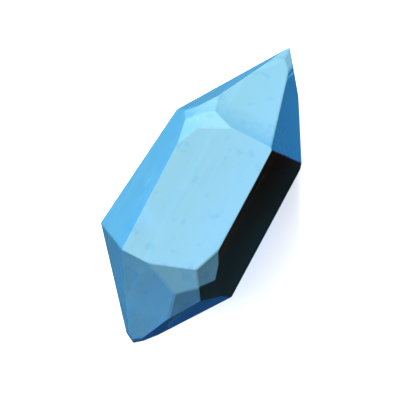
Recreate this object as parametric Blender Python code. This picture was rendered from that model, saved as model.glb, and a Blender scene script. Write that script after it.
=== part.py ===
"""Aquamarine crystal: one six-sided crystal, pointed at both ends, lying on its back face.

Metres, +Z up. The long axis runs along X and the sharper tip points to +X. The origin is on the
underside, below the middle of the crystal's box.
"""

import math

import bmesh
import bpy
from mathutils import Vector

MM = 0.001

# The crystal is a block with one flat cut for each crystal face. A face is given by
#   around: degrees round the long axis from the top of the lying crystal, positive towards -Y,
#   lean: degrees from the direction of the sharp tip, so that 90 is a side of the prism,
#   grown: how far the face has grown from the centre of the crystal, in mm.

# The six sides of the prism, uneven as in nature, and the narrow sides that blunt its corners.
# The underside is the flat that the crystal lies on.
PRISM_FACES = {
    "top": (0, 90, 12.8),
    "left": (-60, 90, 13.2),
    "right": (60, 89.4, 12.35),
    "underside": (180, 90, 12.8),
    "left_under": (-130, 90, 12.6),
    "right_under": (128, 90, 12.4),
    "left_corner": (-100, 78.5, 11.9),
    "right_corner": (100, 90.8, 11.1),
    "top_right_sliver": (48, 90.5, 13.55),
}

# The long sloping faces of the sharp end, the four small faces cut across its shoulder, and the
# two that close its tip.
SHARP_END_FACES = {
    "slope_top": (-1, 43, 15.4),
    "slope_left": (-64, 51.5, 15.3),
    "slope_right": (58, 49.5, 15.3),
    "slope_left_edge": (-90, 61.5, 14.1),
    "slope_left_under": (-130, 66, 17.3),
    "slope_right_edge": (112, 73, 12.0),
    "slope_right_tip_edge": (92, 53.2, 16.6),
    "slope_right_under": (140, 66, 17.4),
    "slope_under": (180, 60, 22.0),
    "shoulder_left_high": (-44, 65.5, 15.75),
    "shoulder_high": (-30, 52.5, 16.1),
    "shoulder_left_low": (-29, 77.5, 15.2),
    "shoulder_low": (-12.5, 66, 15.3),
    "shoulder_right": (60.5, 77.5, 13.8),
    "tip_left": (-19, 36.5, 17.85),
    "tip_right": (28, 36, 18.1),
}

# The blunter end repeats the sharp one by a half turn: sloping faces, four small faces across the
# opposite shoulder, and two at the tip.
BLUNT_END_FACES = {
    "blunt_slope_top": (1, 132.5, 21.15),
    "blunt_slope_right": (67.5, 129, 20.3),
    "blunt_slope_left": (-63.5, 129, 20.9),
    "blunt_slope_left_under": (-120, 123.5, 20.4),
    "blunt_slope_right_under": (115, 113, 14.6),
    "blunt_slope_right_edge": (100, 129.5, 21.2),
    "blunt_slope_under": (180, 130, 24.0),
    "blunt_shoulder_top": (11, 117.5, 18.7),
    "blunt_shoulder_corner": (33, 101.5, 16.0),
    "blunt_shoulder_low": (26, 127.5, 20.65),
    "blunt_shoulder_right": (46.5, 111.5, 17.8),
    "blunt_tip_left": (-48, 149.5, 27.6),
    "blunt_tip_right": (50.5, 147.5, 26.6),
    "blunt_tip_under": (-120, 138.5, 26.1),
}

# The uncut block is larger than the crystal on every side.
BLOCK_SIZE_MM = 90.0
# Corners closer than this to a cut are taken as lying on it.
CUT_TOLERANCE_MM = 0.001

# Pale sea-blue beryl with a glassy surface.
AQUAMARINE_COLOUR = (0.31, 0.64, 0.80, 1.0)
BERYL_IOR = 1.577
FACE_ROUGHNESS = 0.08


def clear_scene():
    """Start from an empty scene."""
    for old in list(bpy.data.objects):
        bpy.data.objects.remove(old)


def face_direction(around, lean):
    """The direction in which a crystal face looks."""
    turn = math.radians(around)
    tilt = math.radians(lean)
    return Vector((math.cos(tilt), -math.sin(tilt) * math.sin(turn), math.sin(tilt) * math.cos(turn)))


def cut_face(mesh, around, lean, grown):
    """Cut the block off flat at one crystal face and close the cut."""
    direction = face_direction(around, lean)
    everything = mesh.verts[:] + mesh.edges[:] + mesh.faces[:]
    bmesh.ops.bisect_plane(
        mesh,
        geom=everything,
        dist=CUT_TOLERANCE_MM * MM,
        plane_co=direction * grown * MM,
        plane_no=direction,
        clear_outer=True,
    )
    open_edges = [edge for edge in mesh.edges if edge.is_boundary]
    bmesh.ops.holes_fill(mesh, edges=open_edges, sides=0)


def grow_crystal():
    """The solid left when every crystal face has been cut."""
    mesh = bmesh.new()
    bmesh.ops.create_cube(mesh, size=BLOCK_SIZE_MM * MM)
    for faces in (PRISM_FACES, SHARP_END_FACES, BLUNT_END_FACES):
        for around, lean, grown in faces.values():
            cut_face(mesh, around, lean, grown)
    bmesh.ops.recalc_face_normals(mesh, faces=mesh.faces[:])
    return mesh


def lay_down(mesh):
    """Move the crystal so that its underside is at height 0 and its box is centred on X and Y."""
    low = Vector(min(vert.co[axis] for vert in mesh.verts) for axis in range(3))
    high = Vector(max(vert.co[axis] for vert in mesh.verts) for axis in range(3))
    rest_point = Vector(((low.x + high.x) / 2, (low.y + high.y) / 2, low.z))
    bmesh.ops.translate(mesh, verts=mesh.verts[:], vec=-rest_point)


def aquamarine_material():
    """Glassy, pale blue beryl."""
    material = bpy.data.materials.new("aquamarine")
    material.use_nodes = True
    shader = material.node_tree.nodes["Principled BSDF"]
    shader.inputs["Base Color"].default_value = AQUAMARINE_COLOUR
    shader.inputs["Roughness"].default_value = FACE_ROUGHNESS
    shader.inputs["Metallic"].default_value = 0.0
    shader.inputs["IOR"].default_value = BERYL_IOR
    return material


def add_crystal():
    """Put the finished crystal into the scene."""
    mesh = grow_crystal()
    lay_down(mesh)
    data = bpy.data.meshes.new("crystal")
    mesh.to_mesh(data)
    mesh.free()
    data.materials.append(aquamarine_material())
    crystal = bpy.data.objects.new("crystal", data)
    bpy.context.scene.collection.objects.link(crystal)


clear_scene()
add_crystal()
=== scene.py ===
"""The looks of the aquamarine crystal: pale blue faces over a deep clear body, with painted light on the
faces that look up and painted shade on the side away from the key light.
"""

import math
import random

import bmesh
import bpy
from mathutils import Matrix, Vector


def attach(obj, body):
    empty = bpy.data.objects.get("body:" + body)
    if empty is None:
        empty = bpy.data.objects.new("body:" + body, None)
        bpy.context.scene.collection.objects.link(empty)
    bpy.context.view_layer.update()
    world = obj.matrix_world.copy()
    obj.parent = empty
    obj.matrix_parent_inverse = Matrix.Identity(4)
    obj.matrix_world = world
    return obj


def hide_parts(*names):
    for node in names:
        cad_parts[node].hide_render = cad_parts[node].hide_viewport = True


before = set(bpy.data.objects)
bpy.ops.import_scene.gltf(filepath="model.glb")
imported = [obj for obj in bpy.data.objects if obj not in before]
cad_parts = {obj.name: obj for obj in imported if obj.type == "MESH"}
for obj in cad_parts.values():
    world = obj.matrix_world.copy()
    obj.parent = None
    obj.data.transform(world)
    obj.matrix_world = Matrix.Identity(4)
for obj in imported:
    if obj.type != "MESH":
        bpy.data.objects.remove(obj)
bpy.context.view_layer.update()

MM = 0.001
PICTURE_SIZE = 420

# The camera looks almost straight down. It is turned from the vertical by these angles, towards
# -Y and towards the sharp tip, and the long axis rises to the right of the picture at ROLL.
VIEW_SIDEWAYS = math.radians(5.7)
VIEW_TO_TIP = math.radians(0.3)
ROLL = math.radians(62.4)
CAMERA_DISTANCE = 208 * MM
LENS = 100.0
SENSOR = 36.0
NEAREST_SEEN = 10 * MM
# The crystal's middle lies at this pixel of the photograph.
MIDDLE_PIXEL = (218.2, 182.2)
# The crystal's middle, measured from the point below the middle of its box.
MIDDLE = Vector((2.44, -1.77, 12.8)) * MM

# Natural wear takes this much off each edge, in mm below the sharp edge.
EDGE_WEAR_MM = (0.015, 0.05)
SAME_POINT = 0.001 * MM
ON_PLANE = 0.0005 * MM
FLAT_ANGLE = math.radians(0.4)
SEED = 7

# The floor lies this far below the crystal, as the clear underside turns black where it touches.
FLOOR_GAP = 0.15 * MM
FLOOR_REACH = 2.0
# The dim even light of the room.
ROOM_LIGHT = 0.02

# Sizes in the skin. The growth lines are drawn about twice as coarse as real ones, to be seen.
LINE_LENGTH = 14 * MM
LINE_SPACING = 0.7 * MM
LINE_DEPTH = 0.03 * MM
CLOUD_SIZE = 6.5 * MM
SMUDGE_SIZE = 2.4 * MM

# How much the clouds and the growth lines lighten the blue, and where the lightening starts and ends.
CLOUD_SHARE = 0.5
LINE_SHARE = 0.3
PALE_RANGE = (0.4, 1.4)
SMUDGE_RANGE = (0.60, 0.70)
# The stretch of the long axis over which faces that are not steep turn paler towards the sharp tip.
SHARP_END = (9 * MM, 17 * MM)

# A tint that some faces get by the direction that they look in has that direction, and a range for the
# cosine of the angle between a face and that direction. The tint starts at the first value and is full
# at the second.
UP = (0.0, 0.0, 1.0)
# Painted light: faces that look up are drawn paler, as if lit from above.
LIT_FROM_ABOVE = (0.62, 0.97)
NOT_STEEP = (0.42, 0.54)
# Painted shade: faces turned towards -Y, away from the key light, are drawn a deeper blue.
SHADED_SIDE = (0.0, -1.0, 0.0)
DEEPER_IN_SHADE = (0.56, 0.62)
# The faces of the blunt end's shoulder that look this way are drawn greyer.
SHOULDER_FACING = (-0.33, -0.55, 0.77)
SHOULDER_RANGE = (0.90, 0.94)
# Painted shade: the long side turned away from the key light, and the small faces next to it, are drawn
# near black.
BLACK_SHADE_SIDE = (0.0, -0.866, 0.5)
BLACK_SHADE = (0.865, 0.90)
# The painted shade turns from brown to green along this direction, over this stretch.
SHADE_RUN = (-0.6, 0.0, -0.8)
SHADE_STRETCH = (-24 * MM, 0.0)

BERYL_IOR = 1.577
BERYL_ROUGHNESS = 0.1
RIDGE_STRENGTH = 0.25
# This share of the light enters the clear body, and the cloudy skin scatters the rest.
CLEAR_SHARE = 0.6
BODY_DENSITY = 60.0

# The colour sockets of a Mix node.
FIRST = 6
SECOND = 7
MIXED = 2


def linear_colour(hex_code):
    """An sRGB hex value as linear light."""
    parts = [int(hex_code[i:i + 2], 16) / 255 for i in (0, 2, 4)]
    linear = [c / 12.92 if c <= 0.04045 else ((c + 0.055) / 1.055) ** 2.4 for c in parts]
    return (*linear, 1.0)


def node(tree, kind, settings=None, links=None):
    """Add a shader node, set its sockets or properties and link its inputs."""
    made = tree.nodes.new(kind)
    for name, value in (settings or {}).items():
        if isinstance(name, int) or name in made.inputs:
            made.inputs[name].default_value = value
        else:
            setattr(made, name, value)
    for name, source in (links or {}).items():
        tree.links.new(source, made.inputs[name])
    return made


def new_material(name):
    """An empty node material and its output."""
    material = bpy.data.materials.new(name)
    material.use_nodes = True
    material.node_tree.nodes.clear()
    output = material.node_tree.nodes.new("ShaderNodeOutputMaterial")
    return material, material.node_tree, output


def turned_towards(tree, facing, direction, cosines):
    """From 0 to 1 as a face turns towards a direction."""
    cosine = node(tree, "ShaderNodeVectorMath", {"operation": "DOT_PRODUCT", 1: direction}, {0: facing})
    share = node(tree, "ShaderNodeMapRange", {
        "From Min": cosines[0], "From Max": cosines[1],
    }, {"Value": cosine.outputs["Value"]})
    return share.outputs[0]


def paleness(tree, place, facing):
    """How pale each face is. Painted light makes the faces that look up palest, faces that are not steep
    turn paler at the sharp end, and steep faces stay deepest.
    """
    along = node(tree, "ShaderNodeSeparateXYZ", links={0: place}).outputs["X"]
    sharp_end = node(tree, "ShaderNodeMapRange", {
        "From Min": SHARP_END[0], "From Max": SHARP_END[1],
    }, {"Value": along})
    # Painted light: the faces that look up are paler.
    lit_from_above = turned_towards(tree, facing, UP, LIT_FROM_ABOVE)
    not_steep = turned_towards(tree, facing, UP, NOT_STEEP)
    both = node(tree, "ShaderNodeMath", {"operation": "MULTIPLY_ADD"}, {
        0: sharp_end.outputs[0], 1: not_steep, 2: lit_from_above,
    })
    return both.outputs[0]


def cloudy_and_lit_blue(tree, place, facing, lines):
    """Deep blue to pale blue in soft patches and thin lines, with painted light that makes the faces
    looking up paler.
    """
    cloud = node(tree, "ShaderNodeTexNoise", {
        "Scale": 1 / CLOUD_SIZE, "Detail": 4.0, "Roughness": 0.6,
    }, {"Vector": place})
    patchy = node(tree, "ShaderNodeMath", {"operation": "MULTIPLY_ADD", 1: CLOUD_SHARE}, {
        0: cloud.outputs[0], 2: paleness(tree, place, facing),
    })
    lined = node(tree, "ShaderNodeMath", {"operation": "MULTIPLY_ADD", 1: LINE_SHARE}, {
        0: lines, 2: patchy.outputs[0],
    })
    share = node(tree, "ShaderNodeMapRange", {
        "From Min": PALE_RANGE[0], "From Max": PALE_RANGE[1],
    }, {"Value": lined.outputs[0]})
    tint = node(tree, "ShaderNodeMix", {
        "data_type": "RGBA", FIRST: linear_colour("65BFEA"), SECOND: linear_colour("A4E6F9"),
    }, {0: share.outputs[0]})
    return tint.outputs[MIXED]


def deeper_blue_in_shade(tree, facing, colour):
    """Painted shade: faces turned towards -Y, away from the key light, are drawn a deeper, purer blue."""
    shaded_blue = node(tree, "ShaderNodeMix", {
        "data_type": "RGBA", "blend_type": "MULTIPLY", SECOND: linear_colour("BAE8FF"),
    }, {0: turned_towards(tree, facing, SHADED_SIDE, DEEPER_IN_SHADE), FIRST: colour})
    return shaded_blue.outputs[MIXED]


def greyed_shoulder(tree, facing, colour):
    """The faces of the blunt end's shoulder that look this way are drawn greyer than the other faces."""
    greyer = node(tree, "ShaderNodeMix", {
        "data_type": "RGBA", "blend_type": "MULTIPLY", SECOND: linear_colour("FFF6D9"),
    }, {0: turned_towards(tree, facing, SHOULDER_FACING, SHOULDER_RANGE), FIRST: colour})
    return greyer.outputs[MIXED]


def smudged(tree, place, colour):
    """Faint smudges, which are healed cracks just below the skin."""
    cracks = node(tree, "ShaderNodeTexNoise", {"Scale": 1 / SMUDGE_SIZE, "Detail": 2.0}, {"Vector": place})
    share = node(tree, "ShaderNodeMapRange", {
        "From Min": SMUDGE_RANGE[0], "From Max": SMUDGE_RANGE[1],
    }, {"Value": cracks.outputs[0]})
    darker = node(tree, "ShaderNodeMix", {
        "data_type": "RGBA", "blend_type": "MULTIPLY", SECOND: linear_colour("EFF7FD"),
    }, {0: share.outputs[0], FIRST: colour})
    return darker.outputs[MIXED]


def near_black_painted_shade(tree, place, facing, colour):
    """Painted shade: near black on one long side and the small faces next to it, brown above and green
    below.
    """
    run = node(tree, "ShaderNodeVectorMath", {"operation": "DOT_PRODUCT", 1: SHADE_RUN}, {0: place})
    greener = node(tree, "ShaderNodeMapRange", {
        "From Min": SHADE_STRETCH[0], "From Max": SHADE_STRETCH[1],
    }, {"Value": run.outputs["Value"]})
    shade_tint = node(tree, "ShaderNodeMix", {
        "data_type": "RGBA", FIRST: linear_colour("3A1002"), SECOND: linear_colour("535B2B"),
    }, {0: greener.outputs[0]})
    skin = node(tree, "ShaderNodeMix", {"data_type": "RGBA"}, {
        0: turned_towards(tree, facing, BLACK_SHADE_SIDE, BLACK_SHADE), FIRST: colour, SECOND: shade_tint.outputs[MIXED],
    })
    return skin.outputs[MIXED]


def aquamarine_beryl():
    """Natural beryl, grown and never polished.

    Its skin is cloudy in soft patches and lines. Painted light makes the faces that look up a flat pale
    blue, and painted shade makes the side away from the key light a deeper blue and one long side near
    black.
    Its body is clear and deep blue, so shaded faces go dark and light gathers inside the lower faces.
    The body is drawn deeper than most real stones, as in the photograph.
    """
    material, tree, output = new_material("aquamarine_beryl")
    place = node(tree, "ShaderNodeTexCoord").outputs["Object"]
    facing = node(tree, "ShaderNodeNewGeometry").outputs["True Normal"]
    stretched = node(tree, "ShaderNodeMapping", {
        "Scale": (1 / LINE_LENGTH, 1 / LINE_SPACING, 1 / LINE_SPACING),
    }, {"Vector": place})
    lines = node(tree, "ShaderNodeTexNoise", {"Scale": 1.0, "Detail": 3.0}, {
        "Vector": stretched.outputs[0],
    }).outputs[0]
    colour = cloudy_and_lit_blue(tree, place, facing, lines)
    # Painted shade on the side away from the key light.
    colour = deeper_blue_in_shade(tree, facing, colour)
    colour = greyed_shoulder(tree, facing, colour)
    colour = smudged(tree, place, colour)
    # Painted shade: the long side away from the key light is drawn near black.
    colour = near_black_painted_shade(tree, place, facing, colour)
    ridges = node(tree, "ShaderNodeBump", {
        "Strength": RIDGE_STRENGTH, "Distance": LINE_DEPTH,
    }, {"Height": lines})
    skin = node(tree, "ShaderNodeBsdfPrincipled", {
        "Roughness": BERYL_ROUGHNESS, "IOR": BERYL_IOR, "Transmission Weight": CLEAR_SHARE,
    }, {"Base Color": colour, "Normal": ridges.outputs[0]})
    body = node(tree, "ShaderNodeVolumeAbsorption", {
        "Color": linear_colour("00CEEF"), "Density": BODY_DENSITY,
    })
    tree.links.new(skin.outputs[0], output.inputs["Surface"])
    tree.links.new(body.outputs[0], output.inputs["Volume"])
    return material


def matt_paper():
    """Smooth matt drawing paper, which scatters evenly and has no shine."""
    material, tree, output = new_material("matt_paper")
    paper = node(tree, "ShaderNodeBsdfPrincipled", {
        "Base Color": linear_colour("F4F4F4"), "Roughness": 0.9,
    })
    tree.links.new(paper.outputs[0], output.inputs["Surface"])
    return material


def place_mesh(name, mesh, material):
    """An object of one material from an edited mesh."""
    data = bpy.data.meshes.new(name)
    mesh.to_mesh(data)
    mesh.free()
    data.materials.append(material)
    placed = bpy.data.objects.new(name, data)
    bpy.context.scene.collection.objects.link(placed)
    return placed


def crystal_faces(cad):
    """The crystal's flat faces again, from the triangles of the solid."""
    mesh = bmesh.new()
    mesh.from_mesh(cad.data)
    bmesh.ops.remove_doubles(mesh, verts=mesh.verts[:], dist=SAME_POINT)
    bmesh.ops.dissolve_limit(mesh, angle_limit=FLAT_ANGLE, verts=mesh.verts[:], edges=mesh.edges[:])
    return mesh


def wear_edges(mesh):
    """Take a hair's breadth off each edge, as natural wear does."""
    chance = random.Random(SEED)
    cuts = []
    for edge in mesh.edges:
        if len(edge.link_faces) != 2:
            continue
        first, second = edge.link_faces
        outward = (first.normal + second.normal).normalized()
        depth = chance.uniform(*EDGE_WEAR_MM) * MM
        cuts.append((edge.verts[0].co - outward * depth, outward))
    for point, outward in cuts:
        everything = mesh.verts[:] + mesh.edges[:] + mesh.faces[:]
        bmesh.ops.bisect_plane(
            mesh, geom=everything, dist=ON_PLANE, plane_co=point, plane_no=outward, clear_outer=True
        )
        bmesh.ops.holes_fill(mesh, edges=[edge for edge in mesh.edges if edge.is_boundary], sides=0)
    bmesh.ops.recalc_face_normals(mesh, faces=mesh.faces[:])


def worn_crystal():
    """The crystal as one clear body with softly worn edges."""
    mesh = crystal_faces(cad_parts["crystal"])
    wear_edges(mesh)
    body = place_mesh("crystal_body", mesh, aquamarine_beryl())
    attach(body, "root")
    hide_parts("crystal")


def floor():
    """A plain pale floor, which doesn't light the crystal, so that its shaded faces stay dark."""
    mesh = bmesh.new()
    bmesh.ops.create_grid(mesh, x_segments=1, y_segments=1, size=FLOOR_REACH)
    sheet = place_mesh("floor", mesh, matt_paper())
    sheet.location.z = -FLOOR_GAP
    # It is seen through the crystal, but neither lights its skin nor shows in its gloss.
    sheet.visible_diffuse = False
    sheet.visible_glossy = False
    return sheet


def soft_light(name, towards, spread, strength):
    """Even light from the direction `towards`, as wide as a softbox that fills `spread` degrees."""
    light = bpy.data.lights.new(name, "SUN")
    light.angle = math.radians(spread)
    light.energy = strength
    lamp = bpy.data.objects.new(name, light)
    bpy.context.scene.collection.objects.link(lamp)
    lamp.rotation_euler = Vector(towards).to_track_quat("Z", "Y").to_euler()
    # A face that mirrored the lamp would turn pure white.
    lamp.visible_glossy = False
    return lamp


def studio(sheet):
    """Three softboxes, a dim overhead gloss, and a wide light that only the floor takes."""
    world = bpy.data.worlds.new("studio")
    bpy.context.scene.world = world
    world.use_nodes = True
    room = world.node_tree.nodes["Background"]
    room.inputs["Color"].default_value = linear_colour("FFFFFF")
    room.inputs["Strength"].default_value = ROOM_LIGHT

    soft_light("key", towards=(0.59, 0.41, 0.695), spread=16, strength=7.5)
    soft_light("fill", towards=(-0.40, 0.88, 0.27), spread=40, strength=3.9)
    soft_light("end", towards=(-0.90, -0.30, 0.10), spread=30, strength=0.9)

    gloss = soft_light("gloss", towards=UP, spread=100, strength=1.0)
    gloss.visible_glossy = True
    gloss.visible_diffuse = False
    gloss.visible_transmission = False

    wide = soft_light("floor_light", towards=UP, spread=120, strength=4.4)
    only_floor = bpy.data.collections.new("lit_by_floor_light")
    only_floor.objects.link(sheet)
    wide.light_linking.receiver_collection = only_floor


def camera():
    """A long lens looking almost straight down, rolled as in the photograph."""
    away = Vector((
        math.sin(VIEW_TO_TIP),
        -math.sin(VIEW_SIDEWAYS) * math.cos(VIEW_TO_TIP),
        math.cos(VIEW_SIDEWAYS) * math.cos(VIEW_TO_TIP),
    ))
    along = Vector((1, 0, 0))
    along = (along - away * along.dot(away)).normalized()
    across = along.cross(away)
    right = across * math.sin(ROLL) + along * math.cos(ROLL)
    up = along * math.sin(ROLL) - across * math.cos(ROLL)
    turned = Matrix((right, up, away)).transposed()
    focal_pixels = LENS / SENSOR * PICTURE_SIZE
    half = PICTURE_SIZE / 2
    seen_at = Vector((MIDDLE_PIXEL[0] - half, half - MIDDLE_PIXEL[1], -focal_pixels))
    aim = seen_at.rotation_difference(Vector((0, 0, -1))).to_matrix()
    data = bpy.data.cameras.new("camera")
    data.lens = LENS
    data.sensor_width = SENSOR
    data.clip_start = NEAREST_SEEN
    cam = bpy.data.objects.new("camera", data)
    bpy.context.scene.collection.objects.link(cam)
    place = MIDDLE + away * CAMERA_DISTANCE
    cam.matrix_world = Matrix.Translation(place) @ (turned @ aim).to_4x4()
    bpy.context.scene.camera = cam


camera()
studio(floor())
worn_crystal()
bpy.context.scene.view_settings.view_transform = "Standard"
